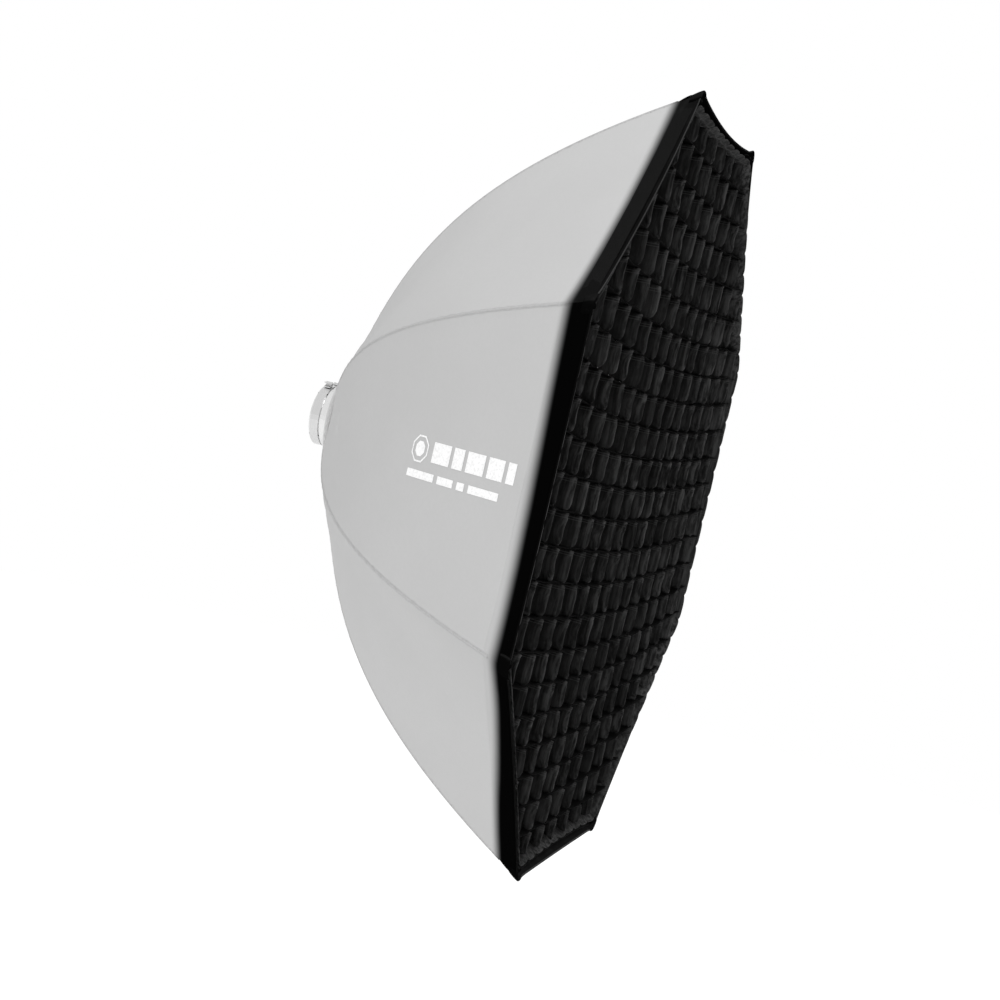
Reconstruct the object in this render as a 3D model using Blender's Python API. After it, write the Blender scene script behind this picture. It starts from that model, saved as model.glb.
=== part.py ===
"""Octabox, 1.5 m across its corners, with a clamp-on speedring and a fabric egg-crate grid.

The box's axis is the Y axis. The front looks along -Y, and +Z is up. The origin is the centre
of the rubber collar's rear mouth, where the flash head goes in. Metres throughout.
"""

import math

import bmesh
import bpy
from mathutils import Matrix, Vector

# ---- the shell: an octagonal bowl carried on eight bent rods --------------------------------
SIDES = 8
SIDE_ANGLE = math.tau / SIDES
FIRST_CORNER = SIDE_ANGLE / 2
CORNER_RADIUS = 0.750
FRONT_Y = -0.659
SEAM_REAR = Vector((0.150, 0.585))
SEAM_REAR_HANDLE = Vector((0.379, 0.496))
SEAM_FRONT_HANDLE = Vector((0.544, 0.391))
SEAM_FRONT = Vector((CORNER_RADIUS, 0.0))
EDGE_SAG = 0.020
CLOTH = 0.0015
GAP = 0.0003
LIP_DEPTH = 0.045
PANEL_ROWS = 10
PANEL_COLUMNS = 4

# ---- rods and what holds their two ends -------------------------------------------------------
ROD_RADIUS = 0.0030
ROD_INSET = 0.0112
ROD_POINTS = 18
SOCKET_RADIUS = 0.0062
SOCKET_BORE = 0.0034
SOCKET_LENGTH = 0.058
SOCKET_FLOOR = 0.008
SOCKET_SIDES = 12
SOCKET_HOLE_PLAY = 0.0005
SOCKET_HOLE_REACH = (-0.012, 0.030)
SOCKET_LEAD = 0.004
CAP_RADIUS = 0.0045
CAP_LENGTH = 0.016
CAP_FLOOR = 0.005
POCKET_RADIUS = 0.0061
POCKET_LENGTH = 0.030
POCKET_FLOOR = 0.0012
POCKET_PLAY = 0.0005
TIP_BACK = 0.008
TIP_SIDES = 8
CROWN = 0.0015

# ---- speedring: a flat plate inside a drilled rim ---------------------------------------------
RIM_RADIUS = 0.103
RIM_WALL = 0.009
RIM_HALF_HEIGHT = 0.014
PLATE_HALF_HEIGHT = 0.004
PLATE_BORE = 0.0610
RING_SEGMENTS = 48
HOLE_SIDES = 12
CUT_PAST = 0.010

# ---- adapter: sleeve, rubber collar and clamp for a 101 mm flash head -------------------------
HEAD_BORE = 0.0505
RUBBER_WALL = 0.0040
SLEEVE_BORE = 0.0548
SLEEVE_RADIUS = 0.0600
SLEEVE_TAIL_RADIUS = 0.0565
SLEEVE_STOP_RADIUS = 0.0460
SLEEVE_STOP = 0.004
SLEEVE_END = 0.001
STOP_FACE_RADIUS = 0.0500
LINER_RECESS = 0.0010
MOUTH_FLARE = 0.002
FLANGE_RADIUS = 0.0720
FLANGE = 0.004
PLATE_PLAY = 0.0005
SLEEVE_LEAD = 0.014
TAIL_START = -0.024
SLOT_WIDTH = 0.0025
BAND_BORE = 0.0568
BAND_RADIUS = 0.0592
BAND_Y = (-0.0205, -0.0035)
BAND_SLIT = 0.008

# ---- over-centre latch across the band's slit, in the XZ plane --------------------------------
LATCH_Y = -0.012
LATCH_ANGLE = math.radians(70.0)
PIVOT_HEIGHT = 0.0072
PIN_RADIUS = 0.0012
PIN_HOLE = 0.0015
EAR_INNER = 0.0045
EAR_OUTER = 0.0070
LEVER_HALF_WIDTH = 0.0042
LEVER_THROW = 0.008
LEVER_REST = math.radians(-12.0)
LEVER_START_ANGLE = math.radians(59.0)
LEVER_END_ANGLE = math.radians(12.0)
LEVER_STEPS = 10
LEVER_HEIGHTS = (0.0040, 0.0064)
LEVER_TIP_START = 0.75
LEVER_TIP_LIFT = 0.0045
LEVER_BROW = (0.0012, 0.0030)
HUB_RADIUS = 0.0032
HUB_ARC = (math.radians(50.0), math.radians(250.0))
HUB_STEPS = 8
BAIL_HALF_WIDTH = 0.0085
BAIL_CORNER = 0.0025
BAIL_CORNER_STEPS = 4
BAIL_TIP_IN = 0.002
BAIL_HOOK = Vector((-0.0262, LATCH_Y, 0.0625))
KEEPER_HALF_WIDTH = 0.006

# Outlines as (height above the band, distance along it).
BASE_FLOOR = 0.0022
BASE_OUTLINE = [(0.0006, -0.0055), (0.0006, 0.0055), (0.0072, 0.0040), (0.0100, 0.0020),
                (0.0100, -0.0020), (0.0072, -0.0040)]
KEEPER_OUTLINE = [(0.0006, -0.0090), (0.0006, 0.0055), (0.0045, 0.0045), (0.0085, 0.0040),
                  (0.0100, 0.0010), (0.0085, -0.0015), (0.0036, -0.0015), (0.0028, -0.0090)]

# ---- rotation lock: a thumbscrew in the speedring's plate -------------------------------------
KNOB_RADIUS_ON_PLATE = 0.083
KNOB_RADIUS = 0.0080
KNOB_NECK = 0.0050
KNOB_SCREW = 0.0026
KNOB_HOLE = 0.0030
KNOB_Y = (-0.040, -0.0175)
KNOB_LOBES = 8

# ---- soft goods -------------------------------------------------------------------------------
COLLAR_OUTLINE = [(0.1500, -0.0737), (0.1450, -0.0725), (0.1350, -0.0690), (0.1250, -0.0650),
                  (0.1160, -0.0614), (0.1105, -0.0588)]
COLLAR_CLOTH = 0.0020
COLLAR_SEGMENTS = 32
TAPE_DEPTHS = (0.008, 0.038)
TAPE = 0.0010
GRID_DEPTHS = (0.004, 0.040)
GRID_BORDER_DEPTHS = (0.0035, 0.0405)
GRID_CLEARANCE = 0.026
GRID_SAG = 0.010
GRID_WALL = 0.0020
GRID_ROW_PITCH = 0.0585
GRID_COLUMN_PITCH = 0.0935
GRID_ROWS = 24
GRID_COLUMNS = 16
DIFFUSER_DEPTH = 0.046
DIFFUSER_CLEARANCE = 0.0215
INNER_DEPTH = 0.270
INNER_RADIUS = 0.470
TAB_HALF_WIDTH = 0.008


# ---- small helpers ----------------------------------------------------------------------------
def clear_scene():
    for obj in list(bpy.data.objects):
        bpy.data.objects.remove(obj, do_unlink=True)


def material(name, colour, roughness, metallic=0.0):
    mat = bpy.data.materials.new(name)
    mat.use_nodes = True
    shader = mat.node_tree.nodes["Principled BSDF"]
    shader.inputs["Base Color"].default_value = (*colour, 1.0)
    shader.inputs["Roughness"].default_value = roughness
    shader.inputs["Metallic"].default_value = metallic
    mat.diffuse_color = (*colour, 1.0)
    return mat


def polar(radius, angle, y):
    """A point at a radius and an angle round the box's axis, angle 0 towards +X."""
    return Vector((radius * math.cos(angle), y, radius * math.sin(angle)))


def add_object(name, bm, mat, smooth_deg=None, place=None):
    """Turn a bmesh into an object whose faces look outwards, with its own material."""
    bmesh.ops.recalc_face_normals(bm, faces=bm.faces)
    if bm.calc_volume(signed=True) < 0:
        bmesh.ops.reverse_faces(bm, faces=bm.faces)
    mesh = bpy.data.meshes.new(name)
    bm.to_mesh(mesh)
    bm.free()
    if smooth_deg is not None:
        mesh.shade_smooth()
        mesh.set_sharp_from_angle(angle=math.radians(smooth_deg))
    mesh.materials.append(mat)
    obj = bpy.data.objects.new(name, mesh)
    bpy.context.scene.collection.objects.link(obj)
    if place is not None:
        obj.matrix_world = place
    return obj


def ring_faces(bm, rings, closed_profile):
    """Join rings of vertices, each a closed loop, into a skin."""
    pairs = list(zip(rings, rings[1:]))
    if closed_profile:
        pairs.append((rings[-1], rings[0]))
    for first, second in pairs:
        count = len(first)
        for i in range(count):
            j = (i + 1) % count
            bm.faces.new((first[i], first[j], second[j], second[i]))


def turned_ring(name, profile, segments, mat, smooth_deg=35, place=None):
    """A ring turned about the Y axis from a closed outline of (radius, y) points."""
    bm = bmesh.new()
    rings = []
    for radius, y in profile:
        loop = [bm.verts.new(polar(radius, math.tau * i / segments, y)) for i in range(segments)]
        rings.append(loop)
    ring_faces(bm, rings, True)
    return add_object(name, bm, mat, smooth_deg, place)


def turned_solid(name, profile, segments, mat, place=None, smooth_deg=35):
    """A solid turned about Y whose outline starts and ends on the axis."""
    bm = bmesh.new()
    start = bm.verts.new((0.0, profile[0][1], 0.0))
    end = bm.verts.new((0.0, profile[-1][1], 0.0))
    rings = []
    for radius, y in profile[1:-1]:
        loop = [bm.verts.new(polar(radius, math.tau * i / segments, y)) for i in range(segments)]
        rings.append(loop)
    ring_faces(bm, rings, False)
    for i in range(segments):
        j = (i + 1) % segments
        bm.faces.new((start, rings[0][j], rings[0][i]))
        bm.faces.new((end, rings[-1][i], rings[-1][j]))
    return add_object(name, bm, mat, smooth_deg, place)


def extruded(name, outline, y_low, y_high, mat, smooth_deg=None):
    """A plate cut to an (x, z) outline, from y_low to y_high."""
    bm = bmesh.new()
    low = [bm.verts.new((x, y_low, z)) for x, z in outline]
    high = [bm.verts.new((x, y_high, z)) for x, z in outline]
    bm.faces.new(low)
    bm.faces.new(high)
    ring_faces(bm, [low, high], False)
    return add_object(name, bm, mat, smooth_deg)


def apply_boolean(obj, cutters, operation="DIFFERENCE"):
    """Cut, join or trim obj with other objects, and bake the result into its mesh."""
    for cutter in cutters:
        cutter.hide_render = True
        cutter.display_type = "WIRE"
        modifier = obj.modifiers.new(cutter.name, "BOOLEAN")
        modifier.operation = operation
        modifier.solver = "EXACT"
        modifier.object = cutter
    graph = bpy.context.evaluated_depsgraph_get()
    graph.update()
    result = bpy.data.meshes.new_from_object(obj.evaluated_get(graph))
    obj.modifiers.clear()
    obj.data = result
    for cutter in cutters:
        bpy.data.objects.remove(cutter, do_unlink=True)


def cylinder_along(name, start, end, radius, sides, mat):
    """A plain round bar between two points."""
    axis = end - start
    turn = axis.to_track_quat("Y", "Z").to_matrix().to_4x4()
    profile = [(0.0, 0.0), (radius, 0.0), (radius, axis.length), (0.0, axis.length)]
    return turned_solid(name, profile, sides, mat, Matrix.Translation(start) @ turn)


# ---- shape of the shell -----------------------------------------------------------------------
def seam(t):
    """The seam over a rod as (radius, depth behind the front): 0 at the collar, 1 in front."""
    s = 1.0 - t
    return (s ** 3 * SEAM_REAR + 3 * s * s * t * SEAM_REAR_HANDLE
            + 3 * s * t * t * SEAM_FRONT_HANDLE + t ** 3 * SEAM_FRONT)


def seam_normal(t):
    """Outward normal of the seam in the (radius, depth) plane."""
    step = 1e-4
    run = seam(min(1.0, t + step)) - seam(max(0.0, t - step))
    return Vector((-run.y, run.x)).normalized()


def seam_at_depth(depth):
    """The seam parameter at a depth behind the front, found by halving."""
    low, high = 0.0, 1.0
    for _ in range(40):
        middle = (low + high) / 2
        if seam(middle).y > depth:
            low = middle
        else:
            high = middle
    return (low + high) / 2


def seam_radius(depth):
    return seam(seam_at_depth(depth)).x


def corner_angle(side):
    return FIRST_CORNER + side * SIDE_ANGLE


def side_point(radius, depth, side, u, sag):
    """A point a share u along one side of an octagon whose sides bow inwards by sag."""
    start = polar(radius, corner_angle(side), FRONT_Y + depth)
    end = polar(radius, corner_angle(side + 1), FRONT_Y + depth)
    chord = (end - start).length
    outward = polar(1.0, corner_angle(side) + SIDE_ANGLE / 2, 0.0)
    return start.lerp(end, u) - outward * (sag * chord * 4 * u * (1 - u))


def octagon_loop(bm, radius, depth, per_side, sag):
    """A loop of vertices round a bowed octagon."""
    return [bm.verts.new(side_point(radius, depth, side, i / per_side, sag))
            for side in range(SIDES) for i in range(per_side)]


def rod_point(t):
    """The rod's centre line as (radius, y), just inside the seam."""
    point = seam(t) - seam_normal(t) * ROD_INSET
    return Vector((point.x, FRONT_Y + point.y))


ROD_REAR = rod_point(0.0)
ROD_DIRECTION = (rod_point(0.001) - ROD_REAR).normalized()
RING_Y = ROD_REAR.y + (RIM_RADIUS - RIM_WALL / 2 - ROD_REAR.x) * ROD_DIRECTION.y / ROD_DIRECTION.x
TIP_T = seam_at_depth(TIP_BACK + CAP_LENGTH / 3)
TIP = rod_point(TIP_T)
TIP_DIRECTION = (TIP - rod_point(TIP_T - 0.001)).normalized()


def rod_place(point, direction, angle):
    """A matrix whose Y axis runs along a rod direction at a corner angle."""
    along = Vector((direction.x * math.cos(angle), direction.y, direction.x * math.sin(angle)))
    turn = along.to_track_quat("Y", "Z").to_matrix().to_4x4()
    return Matrix.Translation(polar(point.x, angle, point.y)) @ turn


# ---- soft goods -------------------------------------------------------------------------------
def build_shell_panel(side, mat):
    """One of the eight gores: a bowed sheet between two rods, from collar to lip."""
    t_rear = 0.002
    middle = corner_angle(side) + SIDE_ANGLE / 2
    bm = bmesh.new()
    skins = []
    for layer in range(2):
        grid = []
        trim = GAP + layer * 0.8 * CLOTH
        t_front = seam_at_depth(LIP_DEPTH + GAP / 2 + layer * 0.6 * CLOTH)
        for row in range(PANEL_ROWS + 1):
            t = t_rear + (t_front - t_rear) * row / PANEL_ROWS
            radius, depth = seam(t)
            normal = seam_normal(t)
            inward = polar(normal.x, middle, normal.y) * (-CLOTH * layer)
            chord = 2 * radius * math.sin(SIDE_ANGLE / 2)
            line = []
            for column in range(PANEL_COLUMNS + 1):
                u = trim / chord + (1 - 2 * trim / chord) * column / PANEL_COLUMNS
                point = side_point(radius, depth, side, u, EDGE_SAG)
                line.append(bm.verts.new(point + inward))
            grid.append(line)
        skins.append(grid)
    for grid in skins:
        for row in range(PANEL_ROWS):
            for column in range(PANEL_COLUMNS):
                bm.faces.new((grid[row][column], grid[row][column + 1],
                              grid[row + 1][column + 1], grid[row + 1][column]))
    borders = []
    for grid in skins:
        border = list(grid[0])
        border += [line[-1] for line in grid[1:]]
        border += list(reversed(grid[-1][:-1]))
        border += [line[0] for line in reversed(grid[1:-1])]
        borders.append(border)
    ring_faces(bm, borders, False)
    return add_object(f"shell_panel_{side + 1}", bm, mat, 30)


def octagon_band(name, depths, inset, thickness, sag, mat, per_side=4):
    """A thin band that follows the inside of the seam's octagon between two depths."""
    bm = bmesh.new()
    square = math.cos(SIDE_ANGLE / 2)
    rings = []
    for depth, offset in ((depths[0], inset), (depths[1], inset),
                          (depths[1], inset + thickness), (depths[0], inset + thickness)):
        radius = seam_radius(depth) - offset / square
        rings.append(octagon_loop(bm, radius, depth, per_side, sag))
    ring_faces(bm, rings, True)
    return add_object(name, bm, mat, 30)


def build_rear_collar(mat):
    """Fabric drum round the speedring: an octagon where it meets the shell, round behind."""
    bm = bmesh.new()
    square = math.cos(SIDE_ANGLE / 2)
    per_side = COLLAR_SEGMENTS // SIDES

    def loop(radius, y, roundness):
        verts = []
        for side in range(SIDES):
            for i in range(per_side):
                flat = side_point(radius, y - FRONT_Y, side, i / per_side, EDGE_SAG)
                angle = math.atan2(flat.z, flat.x)
                reach = math.hypot(flat.x, flat.z)
                reach += (radius * (1 + square) / 2 - reach) * roundness
                verts.append(bm.verts.new(polar(reach, angle, y)))
        return verts

    last = len(COLLAR_OUTLINE) - 1
    outer = [loop(radius, y, i / last) for i, (radius, y) in enumerate(COLLAR_OUTLINE)]
    inner = [loop(radius - COLLAR_CLOTH, y - COLLAR_CLOTH * i / last, i / last)
             for i, (radius, y) in enumerate(COLLAR_OUTLINE)]
    ring_faces(bm, outer + inner[::-1], True)
    return add_object("rear_collar", bm, mat, 40)


def grid_prism(name, depths, offset, mat, per_side=4):
    """A solid block with the grid's outline, flared like the lip."""
    bm = bmesh.new()
    loops = [octagon_loop(bm, seam_radius(depth) - GRID_CLEARANCE - offset, depth,
                          per_side, GRID_SAG) for depth in depths]
    ring_faces(bm, loops, False)
    for loop in loops:
        bm.faces.new(loop)
    return add_object(name, bm, mat)


def crossing_lattice(name, mat):
    """Rows and columns of cloth strips that cross, as one body with square openings."""
    half = GRID_WALL / 2
    edges = []
    for pitch, count in ((GRID_COLUMN_PITCH, GRID_COLUMNS), (GRID_ROW_PITCH, GRID_ROWS)):
        lines = [(i - (count - 1) / 2) * pitch for i in range(count)]
        edges.append([line + shift for line in lines for shift in (-half, half)])
    xs, zs = edges
    bm = bmesh.new()
    sheets = [[[bm.verts.new((x, FRONT_Y + depth, z)) for z in zs] for x in xs]
              for depth in GRID_DEPTHS]

    def is_cloth(i, j):
        inside = 0 <= i < len(xs) - 1 and 0 <= j < len(zs) - 1
        return inside and (i % 2 == 0 or j % 2 == 0)

    front, rear = sheets
    for i in range(len(xs) - 1):
        for j in range(len(zs) - 1):
            if not is_cloth(i, j):
                continue
            corners = ((i, j), (i + 1, j), (i + 1, j + 1), (i, j + 1))
            bm.faces.new([front[a][b] for a, b in corners])
            bm.faces.new([rear[a][b] for a, b in reversed(corners)])
            neighbours = ((i, j - 1), (i + 1, j), (i, j + 1), (i - 1, j))
            for k, beside in enumerate(neighbours):
                if not is_cloth(*beside):
                    (a, b), (c, d) = corners[k], corners[(k + 1) % 4]
                    bm.faces.new((front[a][b], rear[a][b], rear[c][d], front[c][d]))
    return add_object(name, bm, mat)


def build_grid(mat):
    """Egg-crate grid: a lattice trimmed to the lip's octagon and sewn into a border strip."""
    grid = crossing_lattice("grid", mat)
    apply_boolean(grid, [grid_prism("trim_prism", (0.0, 0.060), GRID_WALL / 2, mat)], "INTERSECT")
    border = grid_prism("border", GRID_BORDER_DEPTHS, 0.0, mat)
    apply_boolean(border, [grid_prism("border_core", (-0.010, 0.060), GRID_WALL, mat)])
    apply_boolean(grid, [border], "UNION")
    return grid


def build_front_diffuser(mat):
    """Front diffusion cloth: a flat sheet with the lip's outline."""
    bm = bmesh.new()
    loops = []
    middles = []
    for depth in (DIFFUSER_DEPTH, DIFFUSER_DEPTH + CLOTH):
        radius = seam_radius(DIFFUSER_DEPTH) - DIFFUSER_CLEARANCE
        loops.append(octagon_loop(bm, radius, depth, 4, GRID_SAG))
        middles.append(bm.verts.new((0.0, FRONT_Y + depth, 0.0)))
    ring_faces(bm, loops, False)
    for loop, middle in zip(loops, middles):
        for i, vert in enumerate(loop):
            bm.faces.new((vert, loop[(i + 1) % len(loop)], middle))
    return add_object("front_diffuser", bm, mat)


def build_inner_diffuser(mat):
    """Inner baffle: an octagon of cloth with a tab that reaches out to each rod."""
    t = seam_at_depth(INNER_DEPTH + ROD_INSET)
    reach = rod_point(t).x - 2.5 * ROD_RADIUS
    outline = []
    for side in range(SIDES):
        angle = corner_angle(side)
        for radius, offset in ((INNER_RADIUS, -TAB_HALF_WIDTH), (reach, -TAB_HALF_WIDTH),
                               (reach, TAB_HALF_WIDTH), (INNER_RADIUS, TAB_HALF_WIDTH)):
            outline.append((radius * math.cos(angle) - offset * math.sin(angle),
                            radius * math.sin(angle) + offset * math.cos(angle)))
    y = FRONT_Y + INNER_DEPTH
    return extruded("inner_diffuser", outline, y, y + CLOTH, mat)


# ---- rods, sockets, caps and pockets ----------------------------------------------------------
def build_rod(side, mat):
    """A bent steel rod: straight in its socket, then along the seam to the front corner."""
    angle = corner_angle(side)
    in_socket = SOCKET_LENGTH - SOCKET_FLOOR - 2 * GAP
    start = ROD_REAR - ROD_DIRECTION * (in_socket - SOCKET_LEAD)
    points = [start] + [rod_point(TIP_T * i / ROD_POINTS) for i in range(ROD_POINTS + 1)]
    curve = bpy.data.curves.new(f"rod_{side + 1}", "CURVE")
    curve.dimensions = "3D"
    curve.bevel_depth = ROD_RADIUS
    curve.bevel_resolution = 2
    curve.use_fill_caps = True
    spline = curve.splines.new("POLY")
    spline.points.add(len(points) - 1)
    for spot, point in zip(spline.points, points):
        spot.co = (*polar(point.x, angle, point.y), 1.0)
    curve.materials.append(mat)
    obj = bpy.data.objects.new(curve.name, curve)
    bpy.context.scene.collection.objects.link(obj)
    return obj


def cup_profile(outer, bore, length, floor, crown):
    """A blind tube turned about Y: closed and crowned at y = length, open at y = 0."""
    return [(0.0, length - floor), (bore, length - floor), (bore, 0.0), (outer, 0.0),
            (outer, length - crown), (outer * 0.62, length), (0.0, length)]


def build_rod_socket(side, mat):
    """A blind steel tube through the speedring's rim that takes the rod's rear end."""
    profile = cup_profile(SOCKET_RADIUS, SOCKET_BORE, SOCKET_LENGTH, SOCKET_FLOOR, CROWN)
    mouth = ROD_REAR + ROD_DIRECTION * SOCKET_LEAD
    place = rod_place(mouth, -ROD_DIRECTION, corner_angle(side))
    return turned_solid(f"rod_socket_{side + 1}", profile, SOCKET_SIDES, mat, place)


def build_rod_cap(side, mat):
    """A rounded end cap on the rod's tip."""
    profile = cup_profile(CAP_RADIUS, ROD_RADIUS + 2 * GAP, CAP_LENGTH, CAP_FLOOR, CROWN)
    start = TIP - TIP_DIRECTION * (CAP_LENGTH - CAP_FLOOR - GAP)
    place = rod_place(start, TIP_DIRECTION, corner_angle(side))
    return turned_solid(f"rod_cap_{side + 1}", profile, TIP_SIDES, mat, place)


def build_corner_pocket(side, mat):
    """A webbing pocket, sewn into the lip's corner, that holds the capped rod tip."""
    profile = cup_profile(POCKET_RADIUS, CAP_RADIUS + POCKET_PLAY, POCKET_LENGTH, POCKET_FLOOR,
                          CROWN)
    start = TIP - TIP_DIRECTION * (POCKET_LENGTH - POCKET_FLOOR - CAP_FLOOR - 2 * GAP)
    place = rod_place(start, TIP_DIRECTION, corner_angle(side))
    return turned_solid(f"corner_pocket_{side + 1}", profile, TIP_SIDES, mat, place)


# ---- speedring and its lock -------------------------------------------------------------------
def build_speedring(mat):
    """Turning ring: a plate that runs on the sleeve, and a rim bored for the eight sockets."""
    inner_rim = RIM_RADIUS - RIM_WALL
    low, high = RING_Y - RIM_HALF_HEIGHT, RING_Y + RIM_HALF_HEIGHT
    plate_low, plate_high = RING_Y - PLATE_HALF_HEIGHT, RING_Y + PLATE_HALF_HEIGHT
    profile = [(PLATE_BORE, plate_low), (inner_rim, plate_low), (inner_rim, low),
               (RIM_RADIUS, low), (RIM_RADIUS, high), (inner_rim, high),
               (inner_rim, plate_high), (PLATE_BORE, plate_high)]
    ring = turned_ring("speedring", profile, RING_SEGMENTS, mat)
    cutters = []
    for side in range(SIDES):
        angle = corner_angle(side)
        middle = Vector((RIM_RADIUS - RIM_WALL / 2, RING_Y))
        ends = [middle + ROD_DIRECTION * reach for reach in SOCKET_HOLE_REACH]
        start, end = (polar(point.x, angle, point.y) for point in ends)
        cutters.append(cylinder_along(f"bore_{side}", start, end,
                                      SOCKET_RADIUS + SOCKET_HOLE_PLAY, SOCKET_SIDES, mat))
    start = Vector((KNOB_RADIUS_ON_PLATE, plate_low - CUT_PAST, 0.0))
    end = Vector((KNOB_RADIUS_ON_PLATE, plate_high + CUT_PAST, 0.0))
    cutters.append(cylinder_along("knob_hole", start, end, KNOB_HOLE, HOLE_SIDES, mat))
    apply_boolean(ring, cutters)
    return ring


def build_lock_knob(mat):
    """Thumbscrew that locks the turning ring: lobed head, neck and screw in one piece."""
    plate_low, plate_high = RING_Y - PLATE_HALF_HEIGHT, RING_Y + PLATE_HALF_HEIGHT
    profile = [(0.0, plate_low - 0.001), (KNOB_SCREW, plate_low - 0.001),
               (KNOB_SCREW, plate_high + GAP), (KNOB_NECK, plate_high + GAP),
               (KNOB_NECK, KNOB_Y[0]), (KNOB_RADIUS, KNOB_Y[0] + 0.002),
               (KNOB_RADIUS, KNOB_Y[1] - 0.002), (KNOB_RADIUS - 0.002, KNOB_Y[1]),
               (0.0, KNOB_Y[1])]
    place = Matrix.Translation((KNOB_RADIUS_ON_PLATE, 0.0, 0.0))
    knob = turned_solid("lock_knob", profile, 2 * KNOB_LOBES, mat, place, 30)
    for vert in knob.data.vertices:
        reach = math.hypot(vert.co.x, vert.co.z)
        step = round(math.atan2(vert.co.z, vert.co.x) / math.tau * 2 * KNOB_LOBES)
        if reach > KNOB_NECK and step % 2:
            vert.co.x *= 0.90
            vert.co.z *= 0.90
    return knob


# ---- adapter ----------------------------------------------------------------------------------
def build_adapter_sleeve(mat):
    """The fixed core: bearing for the ring, stop for the flash head, slotted clamping tail."""
    flange_y = RING_Y + PLATE_HALF_HEIGHT + PLATE_PLAY
    front = RING_Y - SLEEVE_LEAD
    seat = front + SLEEVE_STOP
    profile = [(SLEEVE_STOP_RADIUS, front), (SLEEVE_RADIUS, front),
               (SLEEVE_RADIUS, flange_y), (FLANGE_RADIUS, flange_y),
               (FLANGE_RADIUS, flange_y + FLANGE), (SLEEVE_RADIUS, flange_y + FLANGE),
               (SLEEVE_RADIUS, TAIL_START), (SLEEVE_TAIL_RADIUS, TAIL_START),
               (SLEEVE_TAIL_RADIUS, -SLEEVE_END), (SLEEVE_BORE, -SLEEVE_END),
               (SLEEVE_BORE, seat - LINER_RECESS), (STOP_FACE_RADIUS, seat - LINER_RECESS),
               (STOP_FACE_RADIUS, seat), (SLEEVE_STOP_RADIUS, seat)]
    sleeve = turned_ring("adapter_sleeve", profile, RING_SEGMENTS, mat)
    slots = []
    for index in range(2):
        half = SLOT_WIDTH / 2
        reach = 2 * SLEEVE_RADIUS
        outline = [(-half, -reach), (half, -reach), (half, reach), (-half, reach)]
        slot = extruded(f"slot_{index}", outline, TAIL_START + 0.002, 0.010, mat)
        slot.rotation_euler.y = math.radians(45 + 90 * index)
        slots.append(slot)
    apply_boolean(sleeve, slots)
    return sleeve


def build_rubber_liner(mat):
    """Soft collar between the flash head and the sleeve."""
    front = RING_Y - SLEEVE_LEAD + SLEEVE_STOP - LINER_RECESS + GAP
    outer = HEAD_BORE + RUBBER_WALL
    profile = [(HEAD_BORE, front), (outer, front), (outer, 0.0),
               (HEAD_BORE + MOUTH_FLARE / 2, 0.0), (HEAD_BORE, -MOUTH_FLARE)]
    return turned_ring("rubber_liner", profile, RING_SEGMENTS, mat)


def build_retaining_ring(mat):
    """Snap ring that keeps the turning ring on the sleeve."""
    rear = RING_Y - PLATE_HALF_HEIGHT - PLATE_PLAY
    bore = SLEEVE_RADIUS + GAP
    profile = [(bore, rear - FLANGE), (FLANGE_RADIUS, rear - FLANGE), (FLANGE_RADIUS, rear),
               (bore, rear)]
    return turned_ring("retaining_ring", profile, RING_SEGMENTS, mat)


def build_clamp_band(mat):
    """Split steel band round the sleeve's slotted tail, with its slit at the top."""
    half_slit = math.asin(BAND_SLIT / 2 / BAND_RADIUS)
    first = math.pi / 2 + half_slit
    span = math.tau - 2 * half_slit
    steps = 40
    bm = bmesh.new()
    rings = []
    for i in range(steps + 1):
        angle = first + span * i / steps
        rings.append([bm.verts.new(polar(radius, angle, y)) for radius, y in
                      ((BAND_BORE, BAND_Y[0]), (BAND_RADIUS, BAND_Y[0]),
                       (BAND_RADIUS, BAND_Y[1]), (BAND_BORE, BAND_Y[1]))])
    ring_faces(bm, rings, False)
    bm.faces.new(rings[0])
    bm.faces.new(rings[-1])
    return add_object("clamp_band", bm, mat, 30)


# ---- latch ------------------------------------------------------------------------------------
PIVOT = polar(BAND_RADIUS + PIVOT_HEIGHT, LATCH_ANGLE, LATCH_Y)
BAIL_PIVOT = PIVOT + polar(LEVER_THROW, LEVER_REST, 0.0)


def on_band(angle, height, along=0.0):
    """An (x, z) point above the band's outside, shifted clockwise along its tangent."""
    radius = BAND_RADIUS + height
    return (radius * math.cos(angle) + along * math.sin(angle),
            radius * math.sin(angle) - along * math.cos(angle))


def cross_bar(name, centre, radius, half_length, mat):
    """A round bar across the latch, along Y."""
    start = Vector((centre.x, LATCH_Y - half_length, centre.z))
    end = Vector((centre.x, LATCH_Y + half_length, centre.z))
    return cylinder_along(name, start, end, radius, HOLE_SIDES, mat)


def build_latch_base(mat):
    """Clevis on the band that carries the lever's pin between two ears."""
    outline = [on_band(LATCH_ANGLE, height, along) for height, along in BASE_OUTLINE]
    base = extruded("latch_base", outline, LATCH_Y - EAR_OUTER, LATCH_Y + EAR_OUTER, mat)
    top = PIVOT_HEIGHT + CUT_PAST
    channel = [on_band(LATCH_ANGLE, height, along) for height, along in
               ((BASE_FLOOR, -CUT_PAST), (BASE_FLOOR, CUT_PAST), (top, CUT_PAST),
                (top, -CUT_PAST))]
    apply_boolean(base, [
        extruded("channel", channel, LATCH_Y - EAR_INNER, LATCH_Y + EAR_INNER, mat),
        cross_bar("ear_holes", PIVOT, PIN_HOLE, EAR_OUTER + CUT_PAST, mat)])
    return base


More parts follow.
